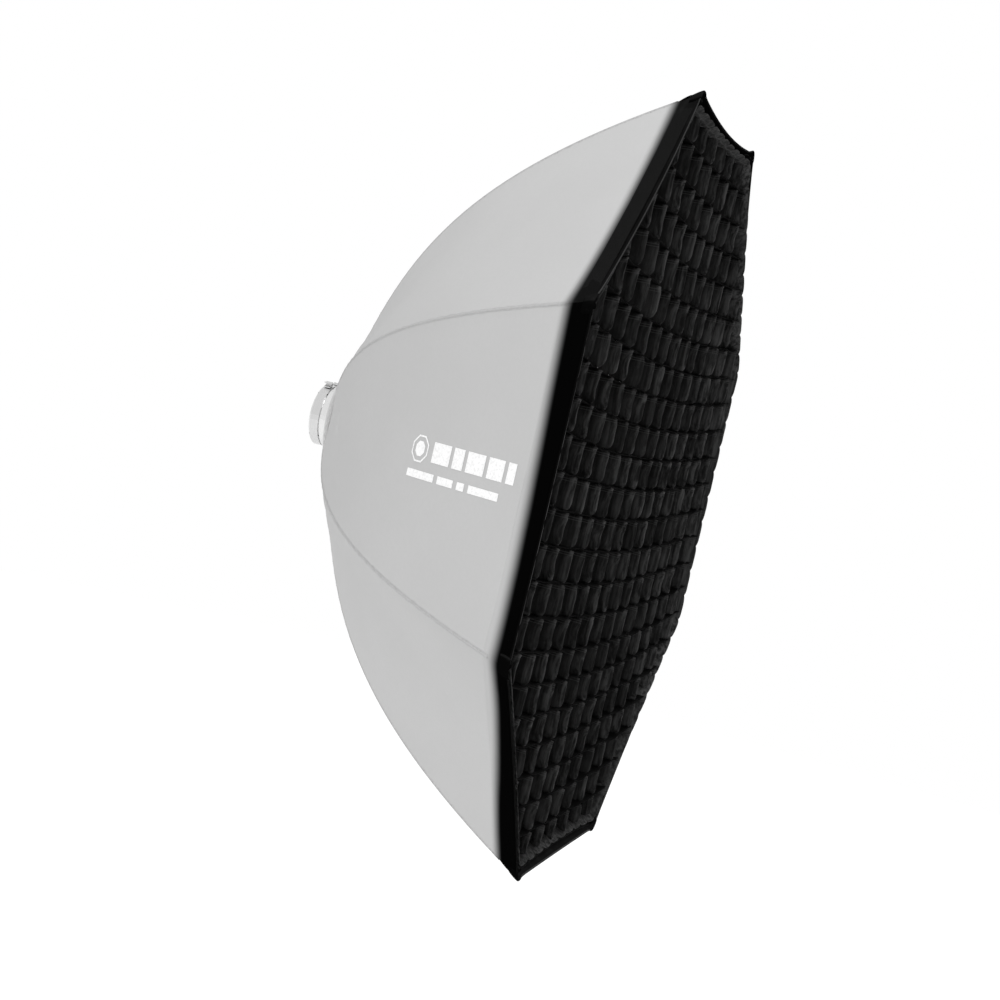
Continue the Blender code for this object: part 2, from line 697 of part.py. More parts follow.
def build_latch_keeper(mat):
    """Hook block on the band's other end, which the bail's crossbar catches."""
    outline = [on_band(math.pi - LATCH_ANGLE, height, along) for height, along in KEEPER_OUTLINE]
    low, high = LATCH_Y - KEEPER_HALF_WIDTH, LATCH_Y + KEEPER_HALF_WIDTH
    return extruded("latch_keeper", outline, low, high, mat)


def build_latch_lever(mat):
    """Curved lever that lies along the band when shut, with a turned-out finger tip."""
    inner, outer = [], []
    for i in range(LEVER_STEPS + 1):
        share = i / LEVER_STEPS
        angle = LEVER_START_ANGLE + share * (LEVER_END_ANGLE - LEVER_START_ANGLE)
        lift = LEVER_TIP_LIFT * max(0.0, share - LEVER_TIP_START) / (1 - LEVER_TIP_START)
        inner.append(on_band(angle, LEVER_HEIGHTS[0] + lift))
        outer.append(on_band(angle, LEVER_HEIGHTS[1] + lift))
    hub_arc = []
    for i in range(HUB_STEPS + 1):
        angle = HUB_ARC[0] + (HUB_ARC[1] - HUB_ARC[0]) * i / HUB_STEPS
        hub_arc.append((PIVOT.x + HUB_RADIUS * math.cos(angle),
                        PIVOT.z + HUB_RADIUS * math.sin(angle)))
    brow = (BAIL_PIVOT.x + LEVER_BROW[0], BAIL_PIVOT.z + LEVER_BROW[1])
    outline = hub_arc + inner + outer[::-1] + [brow]
    lever = extruded("latch_lever", outline, LATCH_Y - LEVER_HALF_WIDTH,
                     LATCH_Y + LEVER_HALF_WIDTH, mat, 25)
    past = LEVER_HALF_WIDTH + CUT_PAST
    apply_boolean(lever, [cross_bar("pivot_hole", PIVOT, PIN_HOLE, past, mat),
                          cross_bar("bail_hole", BAIL_PIVOT, PIN_HOLE, past, mat)])
    return lever


def build_lever_pin(mat):
    return cross_bar("lever_pin", PIVOT, PIN_RADIUS, EAR_OUTER, mat)


def build_latch_bail(mat):
    """Wire bail: its two ends turn in the lever, and its crossbar hooks over the keeper."""
    run = (BAIL_HOOK - BAIL_PIVOT).normalized()

    def bend(foot, side, turn_in):
        """A quarter bend between a leg and the bar across, at one end of the bail."""
        points = []
        for i in range(BAIL_CORNER_STEPS + 1):
            angle = math.pi / 2 * i / BAIL_CORNER_STEPS
            across = BAIL_HALF_WIDTH + BAIL_CORNER * (math.cos(angle) - 1)
            along = BAIL_CORNER * (math.sin(angle) - 1)
            points.append(foot + run * turn_in * along + Vector((0, side * across, 0)))
        return points

    tip = Vector((0, LEVER_HALF_WIDTH - BAIL_TIP_IN, 0))
    path = [BAIL_PIVOT + tip] + bend(BAIL_PIVOT, 1, -1)[::-1] + bend(BAIL_HOOK, 1, 1)
    path += bend(BAIL_HOOK, -1, 1)[::-1] + bend(BAIL_PIVOT, -1, -1) + [BAIL_PIVOT - tip]
    curve = bpy.data.curves.new("latch_bail", "CURVE")
    curve.dimensions = "3D"
    curve.bevel_depth = PIN_RADIUS
    curve.bevel_resolution = 2
    curve.use_fill_caps = True
    spline = curve.splines.new("POLY")
    spline.points.add(len(path) - 1)
    for spot, point in zip(spline.points, path):
        spot.co = (*point, 1.0)
    curve.materials.append(mat)
    obj = bpy.data.objects.new(curve.name, curve)
    bpy.context.scene.collection.objects.link(obj)
    return obj


# ---- the whole object -------------------------------------------------------------------------
def build_adapter():
    enamel = material("black_enamel", (0.020, 0.020, 0.022), 0.40, 0.3)
    steel = material("band_steel", (0.62, 0.62, 0.63), 0.32, 1.0)
    build_adapter_sleeve(enamel)
    build_rubber_liner(material("collar_rubber", (0.018, 0.018, 0.018), 0.75))
    build_retaining_ring(material("zinc_plate", (0.55, 0.56, 0.58), 0.35, 1.0))
    build_clamp_band(steel)
    build_latch_base(steel)
    build_latch_keeper(steel)
    build_lever_pin(steel)
    build_latch_lever(material("latch_plate", (0.50, 0.50, 0.51), 0.28, 1.0))
    build_latch_bail(material("latch_wire", (0.58, 0.58, 0.59), 0.25, 1.0))


def build_frame():
    build_speedring(material("cast_aluminium", (0.42, 0.43, 0.44), 0.45, 0.9))
    build_lock_knob(material("knob_plastic", (0.025, 0.025, 0.027), 0.50))
    socket = material("socket_aluminium", (0.60, 0.61, 0.62), 0.35, 1.0)
    spring_steel = material("rod_steel", (0.45, 0.45, 0.46), 0.30, 1.0)
    cap = material("cap_rubber", (0.02, 0.02, 0.02), 0.70)
    webbing = material("pocket_webbing", (0.03, 0.03, 0.03), 0.90)
    for side in range(SIDES):
        build_rod_socket(side, socket)
        build_rod(side, spring_steel)
        build_rod_cap(side, cap)
        build_corner_pocket(side, webbing)


def build_soft_goods():
    shell = material("shell_cloth", (0.55, 0.55, 0.55), 0.80)
    for side in range(SIDES):
        build_shell_panel(side, shell)
    build_rear_collar(material("collar_cloth", (0.50, 0.50, 0.50), 0.80))
    black = material("lip_cloth", (0.012, 0.012, 0.012), 0.85)
    octagon_band("front_lip", (0.0, LIP_DEPTH - GAP / 2), 0.0, CLOTH, EDGE_SAG, black)
    octagon_band("lip_hook_tape", TAPE_DEPTHS, CLOTH + GAP, TAPE, EDGE_SAG,
                 material("hook_tape", (0.02, 0.02, 0.02), 0.95))
    build_grid(material("grid_cloth", (0.015, 0.015, 0.015), 0.90))
    white = material("diffusion_cloth", (0.85, 0.85, 0.84), 0.70)
    build_front_diffuser(white)
    build_inner_diffuser(white)


def main():
    clear_scene()
    build_adapter()
    build_frame()
    build_soft_goods()


main()
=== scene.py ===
"""Looks of the octabox: its cloth, cloth grid, drum and hardware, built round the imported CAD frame.

Metres, +Z up. The box's axis is Y and its front looks along -Y, as in the CAD.
"""

import math
import random

import bpy
from mathutils import Matrix, Quaternion, Vector, noise


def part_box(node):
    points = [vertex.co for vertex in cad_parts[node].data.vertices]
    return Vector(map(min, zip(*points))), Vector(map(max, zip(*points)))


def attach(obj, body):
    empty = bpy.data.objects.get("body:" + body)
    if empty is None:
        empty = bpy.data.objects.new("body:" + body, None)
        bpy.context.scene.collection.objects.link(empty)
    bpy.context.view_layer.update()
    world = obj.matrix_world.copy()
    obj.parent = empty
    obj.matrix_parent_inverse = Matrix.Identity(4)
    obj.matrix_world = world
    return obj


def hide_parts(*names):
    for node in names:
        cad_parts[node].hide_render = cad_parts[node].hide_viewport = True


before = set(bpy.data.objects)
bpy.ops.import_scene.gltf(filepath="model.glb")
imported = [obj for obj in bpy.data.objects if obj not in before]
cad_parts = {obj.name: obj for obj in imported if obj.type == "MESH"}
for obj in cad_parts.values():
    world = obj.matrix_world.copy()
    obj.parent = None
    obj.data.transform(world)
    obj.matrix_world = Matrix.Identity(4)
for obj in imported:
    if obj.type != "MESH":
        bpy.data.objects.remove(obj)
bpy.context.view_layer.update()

# ---- driving dimensions, as in the CAD --------------------------------------------------------
SIDES = 8
SIDE_ANGLE = math.tau / SIDES
SQUARE = math.cos(SIDE_ANGLE / 2)
FRONT_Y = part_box("front_lip")[0].y
LIP_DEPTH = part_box("front_lip")[1].y - FRONT_Y
SEAM_POINTS = (Vector((0.150, 0.585)), Vector((0.379, 0.496)),
               Vector((0.544, 0.391)), Vector((0.750, 0.0)))

# ---- the camera -------------------------------------------------------------------------------
CAMERA_PLACE = Vector((-3.5235, -1.3719, 0.1290))
CAMERA_AIM = Vector((-0.0030, -0.3933, -0.0782))
CAMERA_ROLL = math.radians(13.13)
LENS = 69.6
SENSOR = 36.0

# ---- cloth ------------------------------------------------------------------------------------
# How far each side of the lip bows inwards, as a share of its length. The CAD has one even sag.
SIDE_SAGS = (0.024, 0.030, 0.036, 0.013, 0.011, 0.002, 0.012, 0.018)
# Each is (distance in or out, reach along the lip). The last two fade out at TIP_DEPTH.
CORNER_ROUNDING = (0.0016, 0.005)
TIP_ROUNDING = (0.0026, 0.009)
TIP_PUSH = (0.0056, 0.024)
TIP_DEPTH = 0.040
INSIDE_LIP = 0.010
SKIN_ROWS = 84
SKIN_COLUMNS = 24
CLOTH = 0.0008
SEAM_HALF_WIDTH = 0.0044
STITCH_PITCH = 0.0060
FADE_DEPTHS = (0.036, 0.062)
FADE_NARROWING = 0.015
FADE_NARROW_ABOVE = (-0.62, -0.34)
FADE_NARROW_BELOW = (0.30, -0.22)

# ---- the grid ---------------------------------------------------------------------------------
ROW_PITCH = 0.0585
COLUMN_PITCH = 0.0935
ROWS = 24
COLUMNS = 16
GRID_CLEARANCE = 0.020
GRID_SAG = 0.010
GRID_HALF_WIDTH = 0.664
WALL_DEPTHS = (0.0045, 0.0385)
DROOP = 0.064
BELLY = 0.012
BELLY_START = 0.30
BELLY_HEIGHT = 0.70
HEM_LINES = (0.835, 0.900)
HEM_LINE_HALF_WIDTH = 0.009

# ---- diffusers, tabs and floor ----------------------------------------------------------------
DIFFUSER_DEPTH = 0.0470
DIFFUSER_CLEARANCE = 0.0215
INNER_RADIUS = 0.470
INNER_SAG = 0.02
TAB_START = 0.455
TAB_HALF_WIDTH = 0.008
FLOOR_RADIUS = 9.0
FLOOR_Z = -1.75


# ---- geometry of the shell --------------------------------------------------------------------
def polar(radius, angle, y):
    return Vector((radius * math.cos(angle), y, radius * math.sin(angle)))


def seam(t):
    """The seam over a rod as (radius, depth behind the front): 0 at the drum, 1 in front."""
    s = 1.0 - t
    a, b, c, d = SEAM_POINTS
    return s ** 3 * a + 3 * s * s * t * b + 3 * s * t * t * c + t ** 3 * d


def seam_normal(t):
    step = 1e-4
    run = seam(min(1.0, t + step)) - seam(max(0.0, t - step))
    return Vector((-run.y, run.x)).normalized()


def seam_at_depth(depth):
    """The t at which the seam is that far behind the front."""
    low, high = 0.0, 1.0
    for _ in range(30):
        middle = (low + high) / 2
        if seam(middle).y > depth:
            low = middle
        else:
            high = middle
    return (low + high) / 2


def seam_radius(depth):
    return seam(seam_at_depth(max(depth, 0.0))).x


def corner_angle(side):
    return SIDE_ANGLE / 2 + side * SIDE_ANGLE


def chord(radius):
    return 2 * radius * math.sin(SIDE_ANGLE / 2)


def side_point(radius, depth, side, u, sag):
    """A point a share u along one side of an octagon whose sides bow inwards by sag."""
    start = polar(radius, corner_angle(side), FRONT_Y + depth)
    end = polar(radius, corner_angle(side + 1), FRONT_Y + depth)
    outward = polar(1.0, corner_angle(side) + SIDE_ANGLE / 2, 0.0)
    return start.lerp(end, u) - outward * (sag * chord(radius) * 4 * u * (1 - u))


def swell(arc, height, reach):
    """A smooth bump of that height, at its highest where arc is 0."""
    return height * math.exp(-(arc / reach) ** 2)


def rim_point(side, u, depth, offset, sag=None, inset=0.0):
    """A point on the lip's octagon. Rod tips push its front corners out; cloth rounds them."""
    radius = seam_radius(depth) - inset + offset / SQUARE
    point = side_point(radius, depth, side, u, SIDE_SAGS[side] if sag is None else sag)
    arc = min(u, 1 - u) * chord(radius)
    pull = swell(arc, *CORNER_ROUNDING)
    if inset < INSIDE_LIP:
        share = max(0.0, 1 - depth / TIP_DEPTH)
        pull += share * (swell(arc, *TIP_ROUNDING) - swell(arc, *TIP_PUSH))
    reach = math.hypot(point.x, point.z)
    return Vector((point.x * (1 - pull / reach), point.y, point.z * (1 - pull / reach)))


# ---- mesh helpers -----------------------------------------------------------------------------
def add_mesh(name, verts, faces, material, smooth_deg=40):
    """A new object, smooth except where faces meet at more than smooth_deg."""
    mesh = bpy.data.meshes.new(name)
    mesh.from_pydata([tuple(v) for v in verts], [], faces)
    mesh.validate()
    mesh.materials.append(material)
    mesh.shade_smooth()
    mesh.set_sharp_from_angle(angle=math.radians(smooth_deg))
    obj = bpy.data.objects.new(name, mesh)
    bpy.context.scene.collection.objects.link(obj)
    return obj


class Sheets:
    """Gathers patches of cloth, each a block of rows of points, into one mesh."""

    def __init__(self):
        self.verts = []
        self.faces = []

    def add(self, rows, closed=False):
        base = len(self.verts)
        wide = len(rows[0])
        for row in rows:
            self.verts.extend(row)
        last = wide if closed else wide - 1
        for i in range(len(rows) - 1):
            for j in range(last):
                k = (j + 1) % wide
                a, b = base + i * wide, base + (i + 1) * wide
                self.faces.append((a + j, a + k, b + k, b + j))

    def build(self, name, material, thickness=0.0, lining=None, smooth_deg=50):
        obj = add_mesh(name, self.verts, self.faces, material, smooth_deg)
        if lining:
            obj.data.materials.append(lining)
        if thickness:
            solid = obj.modifiers.new("thickness", "SOLIDIFY")
            solid.thickness = thickness
            solid.offset = -1.0
            solid.material_offset = 1 if lining else 0
            bake(obj)
        return obj


def bake(obj):
    """Make an object's modifiers part of its mesh."""
    graph = bpy.context.evaluated_depsgraph_get()
    graph.update()
    mesh = bpy.data.meshes.new_from_object(obj.evaluated_get(graph))
    obj.modifiers.clear()
    obj.data = mesh


def finish_piece(obj, body, slot, *nodes):
    """Put a piece on its body, in place of the CAD nodes that it stands for."""
    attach(obj, body)
    if nodes:
        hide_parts(*nodes)
    return obj


def each(name):
    """The eight CAD nodes of one name."""
    return [f"{name}_{i + 1}" for i in range(SIDES)]


def ripple(x, y, seed, scale=1.0):
    """Smooth noise from -1 to 1, the same each run."""
    return noise.noise(Vector((x * scale + seed * 17.3, y * scale - seed * 5.1, seed * 3.7)))


# ---- materials --------------------------------------------------------------------------------
class Paint:
    """One procedural material, made node by node."""

    def __init__(self, name, roughness, metallic=0.0, specular=0.5):
        self.material = bpy.data.materials.new(name)
        self.material.use_nodes = True
        self.tree = self.material.node_tree
        self.shader = self.tree.nodes["Principled BSDF"]
        self.set("Roughness", roughness)
        self.set("Metallic", metallic)
        self.set("Specular IOR Level", specular)
        self.place = self.node("ShaderNodeTexCoord")

    def set(self, socket, value):
        self.shader.inputs[socket].default_value = value

    def node(self, kind, **settings):
        node = self.tree.nodes.new(kind)
        for key, value in settings.items():
            setattr(node, key, value)
        return node

    def link(self, source, target):
        self.tree.links.new(source, target)

    def math(self, operation, first, second=0.0, third=0.0):
        node = self.node("ShaderNodeMath", operation=operation)
        for socket, value in zip(node.inputs, (first, second, third)):
            if isinstance(value, (int, float)):
                socket.default_value = value
            else:
                self.link(value, socket)
        return node.outputs[0]

    def axes(self, output="Object"):
        split = self.node("ShaderNodeSeparateXYZ")
        self.link(self.place.outputs[output], split.inputs[0])
        return split.outputs

    def noise(self, scale, detail=3.0, stretch=(1, 1, 1), roughness=0.5):
        mapping = self.node("ShaderNodeMapping")
        mapping.inputs["Scale"].default_value = stretch
        self.link(self.place.outputs["Object"], mapping.inputs["Vector"])
        cloud = self.node("ShaderNodeTexNoise")
        cloud.inputs["Scale"].default_value = scale
        cloud.inputs["Detail"].default_value = detail
        cloud.inputs["Roughness"].default_value = roughness
        self.link(mapping.outputs["Vector"], cloud.inputs["Vector"])
        return cloud.outputs["Fac"]

    def span(self, value, low, high, out_low=0.0, out_high=1.0, smooth=True):
        node = self.node("ShaderNodeMapRange")
        node.interpolation_type = "SMOOTHSTEP" if smooth else "LINEAR"
        for key, number in (("From Min", low), ("From Max", high),
                            ("To Min", out_low), ("To Max", out_high)):
            node.inputs[key].default_value = number
        self.link(value, node.inputs["Value"])
        return node.outputs["Result"]

    def mix(self, share, first, second):
        node = self.node("ShaderNodeMix", data_type="RGBA")
        self.link(share, node.inputs["Factor"])
        for socket, value in ((node.inputs["A"], first), (node.inputs["B"], second)):
            if isinstance(value, tuple):
                socket.default_value = (*value, 1.0)
            else:
                self.link(value, socket)
        return node.outputs["Result"]

    def weave(self, pitch):
        """Crossed threads, round the axis and along it, as a height from -1 to 1."""
        x, y, z = self.axes()
        angle = self.math("ARCTAN2", z, x)
        reach = self.math("SQRT", self.math("ADD", self.math("MULTIPLY", x, x),
                                            self.math("MULTIPLY", z, z)))
        around = self.math("MULTIPLY", angle, reach)
        waves = [self.math("SINE", self.math("MULTIPLY", run, math.tau / pitch))
                 for run in (around, self.math("ADD", y, self.math("MULTIPLY", reach, 0.6)))]
        return self.math("MULTIPLY", *waves)

    def bump(self, height, distance, strength=1.0, before=None):
        node = self.node("ShaderNodeBump")
        node.inputs["Distance"].default_value = distance
        node.inputs["Strength"].default_value = strength
        self.link(height, node.inputs["Height"])
        if before:
            self.link(before, node.inputs["Normal"])
        return node.outputs["Normal"]

    def finish(self, colour, normal=None, roughness=None):
        self.link(colour, self.shader.inputs["Base Color"])
        if normal:
            self.link(normal, self.shader.inputs["Normal"])
        if roughness:
            self.link(roughness, self.shader.inputs["Roughness"])
        return self.material


def grey(value, warmth=0.0):
    return (value * (1 + warmth), value, value * (1 - warmth))


def black_cloth_colour(paint, side_tone, top_tone):
    """Near-black cloth with painted light: lighter where it faces up, standing in for light from
    above, and lighter still in random patches there, part wear and part painted highlight.
    """
    up = paint.span(paint.axes("Normal")[2], 0.15, 0.62)
    worn = paint.noise(24.0, 5.0, (1.0, 2.2, 1.0), 0.6)
    tone = paint.mix(up, grey(side_tone), grey(top_tone))
    # painted highlight: upward faces made lighter still in random worn patches
    rubbed_and_top_lit = paint.math("MULTIPLY", up, paint.span(worn, 0.45, 0.70, 0.0, 0.55))
    return paint.mix(rubbed_and_top_lit, tone, grey(top_tone * 2.0))


def faded(paint, near_lip, behind):
    """Black beside the lip that turns into the shell's grey, narrower below mid-height."""
    _, y, z = paint.axes()
    narrow = paint.math("MULTIPLY", paint.span(z, *FADE_NARROW_BELOW),
                        paint.span(z, *FADE_NARROW_ABOVE))
    depth = paint.math("ADD", paint.math("SUBTRACT", y, FRONT_Y),
                       paint.math("MULTIPLY", narrow, FADE_NARROWING))
    return paint.mix(paint.span(depth, *FADE_DEPTHS), near_lip, behind)


def shell_cloth():
    paint = Paint("shell_cloth", 0.82, specular=0.02)
    mottle = paint.span(paint.noise(5.0, 5.0), 0.3, 0.7)
    grain = paint.span(paint.noise(160.0, 2.0), 0.3, 0.7)
    tone = paint.mix(mottle, grey(0.510), grey(0.524))
    tone = paint.mix(paint.math("MULTIPLY", grain, 0.25), tone, grey(0.487))
    # painted light: the black band beside the lip is lighter where it faces up
    colour = faded(paint, black_cloth_colour(paint, 0.0014, 0.0075), tone)
    normal = paint.bump(paint.weave(0.0011), 0.00006)
    normal = paint.bump(paint.noise(60.0, 3.0), 0.0006, 0.35, normal)
    return paint.finish(colour, normal)


def seam_cloth():
    paint = Paint("seam_cloth", 0.85, specular=0.02)
    grain = paint.span(paint.noise(220.0, 2.0), 0.3, 0.7)
    tone = paint.mix(grain, grey(0.476), grey(0.504))
    colour = faded(paint, grey(0.0022), tone)
    return paint.finish(colour, paint.bump(paint.weave(0.0009), 0.00008))


def thread():
    paint = Paint("seam_thread", 0.7, specular=0.3)
    twist = paint.span(paint.noise(900.0, 1.0), 0.3, 0.7)
    colour = faded(paint, grey(0.003), paint.mix(twist, grey(0.44), grey(0.50)))
    return paint.finish(colour)


def silver_lining():
    paint = Paint("silver_lining", 0.34, metallic=0.85)
    glint = paint.noise(420.0, 2.0)
    colour = paint.mix(glint, grey(0.62), grey(0.80))
    return paint.finish(colour, paint.bump(glint, 0.0004, 0.5))


def lip_cloth():
    paint = Paint("lip_cloth", 0.92, specular=0.0)
    behind = paint.mix(paint.noise(160.0, 2.0), grey(0.505), grey(0.520))
    # painted light: the black lip is lighter where it faces up
    colour = faded(paint, black_cloth_colour(paint, 0.0014, 0.0075), behind)
    normal = paint.bump(paint.weave(0.0012), 0.00010)
    return paint.finish(colour, normal)


def piping_cloth():
    paint = Paint("piping_cloth", 0.85, specular=0.02)
    # painted light: the piping is lighter where it faces up, standing in for light from above
    up = paint.span(paint.axes("Normal")[2], 0.10, 0.65)
    fleck = paint.span(paint.noise(300.0, 2.0), 0.35, 0.7)
    tone = paint.mix(up, grey(0.0014), grey(0.045))
    return paint.finish(paint.mix(paint.math("MULTIPLY", fleck, 0.3), tone, grey(0.003)))


def corner_cloth():
    paint = Paint("corner_cloth", 0.92, specular=0.0)
    ribs = paint.noise(500.0, 2.0, (1.0, 0.25, 1.0))
    # painted light: the corner caps are lighter where they face up
    tone = black_cloth_colour(paint, 0.0020, 0.0100)
    colour = paint.mix(paint.math("MULTIPLY", ribs, 0.5), tone, grey(0.0020))
    return paint.finish(colour, paint.bump(ribs, 0.0003, 0.6))


def undrooped(paint):
    """The height in rows that a point of the grid would have if its strips didn't sag."""
    x, _, z = paint.axes()
    reach = paint.math("SUBTRACT", GRID_HALF_WIDTH * math.sqrt(2), paint.math("ABSOLUTE", z))
    reach = paint.math("MINIMUM", GRID_HALF_WIDTH, reach)
    spread = paint.math("SUBTRACT", paint.math("MULTIPLY", reach, reach),
                        paint.math("MULTIPLY", x, x))
    droop = paint.math("MULTIPLY", paint.math("MAXIMUM", spread, 0.0), DROOP)
    return paint.math("DIVIDE", paint.math("ADD", z, droop), ROW_PITCH)


def cell_tone(paint):
    """A different number from 0 to 1 for each wall between two level strips."""
    across = paint.math("DIVIDE", paint.axes()[0], COLUMN_PITCH)
    column = paint.math("FLOOR", paint.math("ADD", across, 8.0))
    row = paint.math("FLOOR", paint.math("ADD", undrooped(paint), 0.5))
    chance = paint.node("ShaderNodeTexWhiteNoise", noise_dimensions="1D")
    paint.link(paint.math("ADD", paint.math("MULTIPLY", column, 31.7), row), chance.inputs["W"])
    return chance.outputs["Value"]


def hem_lines(paint):
    """Two fine lines of stitching just below each level strip: 1 on a line and 0 off it."""
    up = paint.math("FRACT", paint.math("ADD", undrooped(paint), 20.5))
    lines = [paint.math("COMPARE", up, centre, HEM_LINE_HALF_WIDTH) for centre in HEM_LINES]
    return paint.math("ADD", *lines)


def grid_cloth():
    paint = Paint("grid_cloth", 0.88, specular=0.08)
    streaks = paint.noise(120.0, 4.0, (1.0, 1.0, 0.09), 0.65)
    lint = paint.noise(14.0, 4.0)
    # painted highlight: lighter vertical streaks along the wrinkles that the same noise raises as
    # bumps
    tone = paint.mix(paint.span(streaks, 0.36, 0.66), grey(0.0080), grey(0.0600))
    tone = paint.mix(paint.span(lint, 0.45, 0.80, 0.0, 0.35), tone, grey(0.060))
    tone = paint.mix(paint.math("MULTIPLY", cell_tone(paint), 0.60), tone, grey(0.0090))
    # painted shade: darker deeper into the cells, behind the walls' front edge
    edge = paint.math("SUBTRACT", paint.axes()[1], FRONT_Y + WALL_DEPTHS[0])
    tone = paint.mix(paint.span(edge, 0.0, 0.024, 0.0, 0.80), tone, grey(0.0030))
    tone = paint.mix(paint.math("MULTIPLY", hem_lines(paint), 0.55), tone, grey(0.050))
    normal = paint.bump(streaks, 0.0018, 0.7)
    normal = paint.bump(paint.noise(1400.0, 1.0), 0.0001, 0.5, normal)
    return paint.finish(tone, normal)


def strip_cloth():
    paint = Paint("strip_cloth", 0.92, specular=0.02)
    threads = paint.noise(160.0, 3.0, (0.2, 1.0, 1.0))
    colour = paint.mix(threads, grey(0.0010), grey(0.0030))
    return paint.finish(colour, paint.bump(threads, 0.0006, 0.5))


def hook_cloth():
    paint = Paint("hook_tape", 0.95, specular=0.05)
    pile = paint.noise(1100.0, 1.0)
    return paint.finish(paint.mix(pile, grey(0.002), grey(0.008)), paint.bump(pile, 0.0008))


def diffusion_cloth():
    paint = Paint("diffusion_cloth", 0.7, specular=0.2)
    cloud = paint.noise(12.0, 3.0)
    colour = paint.mix(cloud, grey(0.80, 0.01), grey(0.88, 0.005))
    return paint.finish(colour, paint.bump(paint.noise(900.0, 1.0), 0.0001, 0.5))


def print_ink():
    paint = Paint("print_ink", 0.6, specular=0.3)
    wear = paint.span(paint.noise(260.0, 3.0), 0.30, 0.55)
    return paint.finish(paint.mix(wear, grey(0.78), grey(0.90)))


def metal(name, tone, roughness, stretch=(1, 1, 1), scale=90.0, scratch=0.0003):
    """Bare or plated metal with a drawn or cast grain."""
    paint = Paint(name, roughness, metallic=1.0)
    grain = paint.noise(scale, 4.0, stretch, 0.6)
    smudge = paint.noise(25.0, 3.0)
    colour = paint.mix(grain, grey(tone * 0.86), grey(tone))
    rough = paint.span(smudge, 0.3, 0.7, roughness * 0.8, roughness * 1.3)
    return paint.finish(colour, paint.bump(grain, scratch, 0.4), rough)


def moulded(name, tone, roughness, scale=700.0, depth=0.0002):
    """Rubber or plastic with the fine grain of its mould."""
    paint = Paint(name, roughness, specular=0.4)
    grain = paint.noise(scale, 2.0)
    dust = paint.span(paint.noise(30.0, 4.0), 0.45, 0.8, 0.0, 0.3)
    colour = paint.mix(dust, grey(tone), grey(tone * 2.2))
    return paint.finish(colour, paint.bump(grain, depth, 0.5))


SHELL = shell_cloth()
SEAM = seam_cloth()
THREAD = thread()
SILVER = silver_lining()
LIP = lip_cloth()
PIPING = piping_cloth()
CORNER = corner_cloth()
GRID = grid_cloth()
STRIP = strip_cloth()
HOOK = hook_cloth()
DIFFUSION = diffusion_cloth()
INK = print_ink()
ALUMINIUM = metal("cast_aluminium", 0.62, 0.42)
SLEEVE_METAL = metal("turned_aluminium", 0.78, 0.28, (1.0, 14.0, 1.0), 60.0)
PLATED = metal("zinc_plate", 0.70, 0.30)
BAND_METAL = metal("band_steel", 0.66, 0.26, (1.0, 20.0, 1.0), 50.0)
LATCH_METAL = metal("latch_plate", 0.62, 0.24)
WIRE = metal("latch_wire", 0.66, 0.22)
SOCKET_METAL = metal("socket_aluminium", 0.68, 0.34, (1.0, 1.0, 1.0), 200.0)
ROD_METAL = metal("rod_steel", 0.50, 0.28, (1.0, 1.0, 1.0), 150.0)
RUBBER = moulded("collar_rubber", 0.018, 0.75)
KNOB = moulded("knob_plastic", 0.020, 0.45)
CAP = moulded("cap_rubber", 0.015, 0.70)

NODE_FINISHES = {
    "adapter_sleeve": SLEEVE_METAL, "rubber_liner": RUBBER, "clamp_band": BAND_METAL,
    "retaining_ring": PLATED, "latch_base": BAND_METAL, "latch_keeper": BAND_METAL,
    "lever_pin": BAND_METAL, "latch_lever": LATCH_METAL, "latch_bail": WIRE,
    "speedring": ALUMINIUM, "lock_knob": KNOB, "lip_hook_tape": HOOK,
    "rod_socket": SOCKET_METAL, "rod": ROD_METAL, "rod_cap": CAP, "corner_pocket": CORNER,
}


def paint_nodes():
    """Give each CAD node that stays visible its own finish."""
    for name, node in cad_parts.items():
        family = name.rstrip("12345678").rstrip("_")
        finish = NODE_FINISHES.get(name) or NODE_FINISHES.get(family)
        if finish:
            node.data.materials.clear()
            node.data.materials.append(finish)


# ---- camera, floor and light ------------------------------------------------------------------
def build_camera():
    data = bpy.data.cameras.new("camera")
    data.lens = LENS
    data.sensor_width = SENSOR
    data.clip_end = 60.0
    camera = bpy.data.objects.new("camera", data)
    look = (CAMERA_AIM - CAMERA_PLACE).to_track_quat("-Z", "Y")
    roll = Quaternion((0, 0, 1), CAMERA_ROLL)
    camera.matrix_world = Matrix.LocRotScale(CAMERA_PLACE, look @ roll, None)
    bpy.context.scene.collection.objects.link(camera)
    bpy.context.scene.camera = camera


def build_floor():
    paint = Paint("floor", 0.9, specular=0.0)
    colour = paint.mix(paint.noise(0.7, 2.0), grey(0.90), grey(0.93))
    paint.set("Emission Color", (1.0, 1.0, 1.0, 1.0))
    paint.set("Emission Strength", 0.16)
    material = paint.finish(colour)
    rim = [polar(FLOOR_RADIUS, math.tau * i / 96, 0.0) for i in range(96)]
    verts = [Vector((p.x, p.z, FLOOR_Z)) for p in rim]
    floor = add_mesh("floor", verts, [tuple(range(96))], material)


def add_area(name, place, aim, size, watts):
    data = bpy.data.lights.new(name, "AREA")
    data.shape = "DISK"
    data.size = size
    data.energy = watts
    light = bpy.data.objects.new(name, data)
    turn = (Vector(aim) - Vector(place)).to_track_quat("-Z", "Y")
    light.matrix_world = Matrix.LocRotScale(Vector(place), turn, None)
    bpy.context.scene.collection.objects.link(light)


def build_light():
    world = bpy.data.worlds.new("studio")
    world.use_nodes = True
    background = world.node_tree.nodes["Background"]
    background.inputs["Color"].default_value = (1.0, 1.0, 1.0, 1.0)
    background.inputs["Strength"].default_value = 1.0
    bpy.context.scene.world = world
    add_area("key_light", (-2.6, -2.2, 3.4), (0.0, -0.4, 0.0), 2.4, 60.0)
    bpy.context.scene.view_settings.view_transform = "Standard"


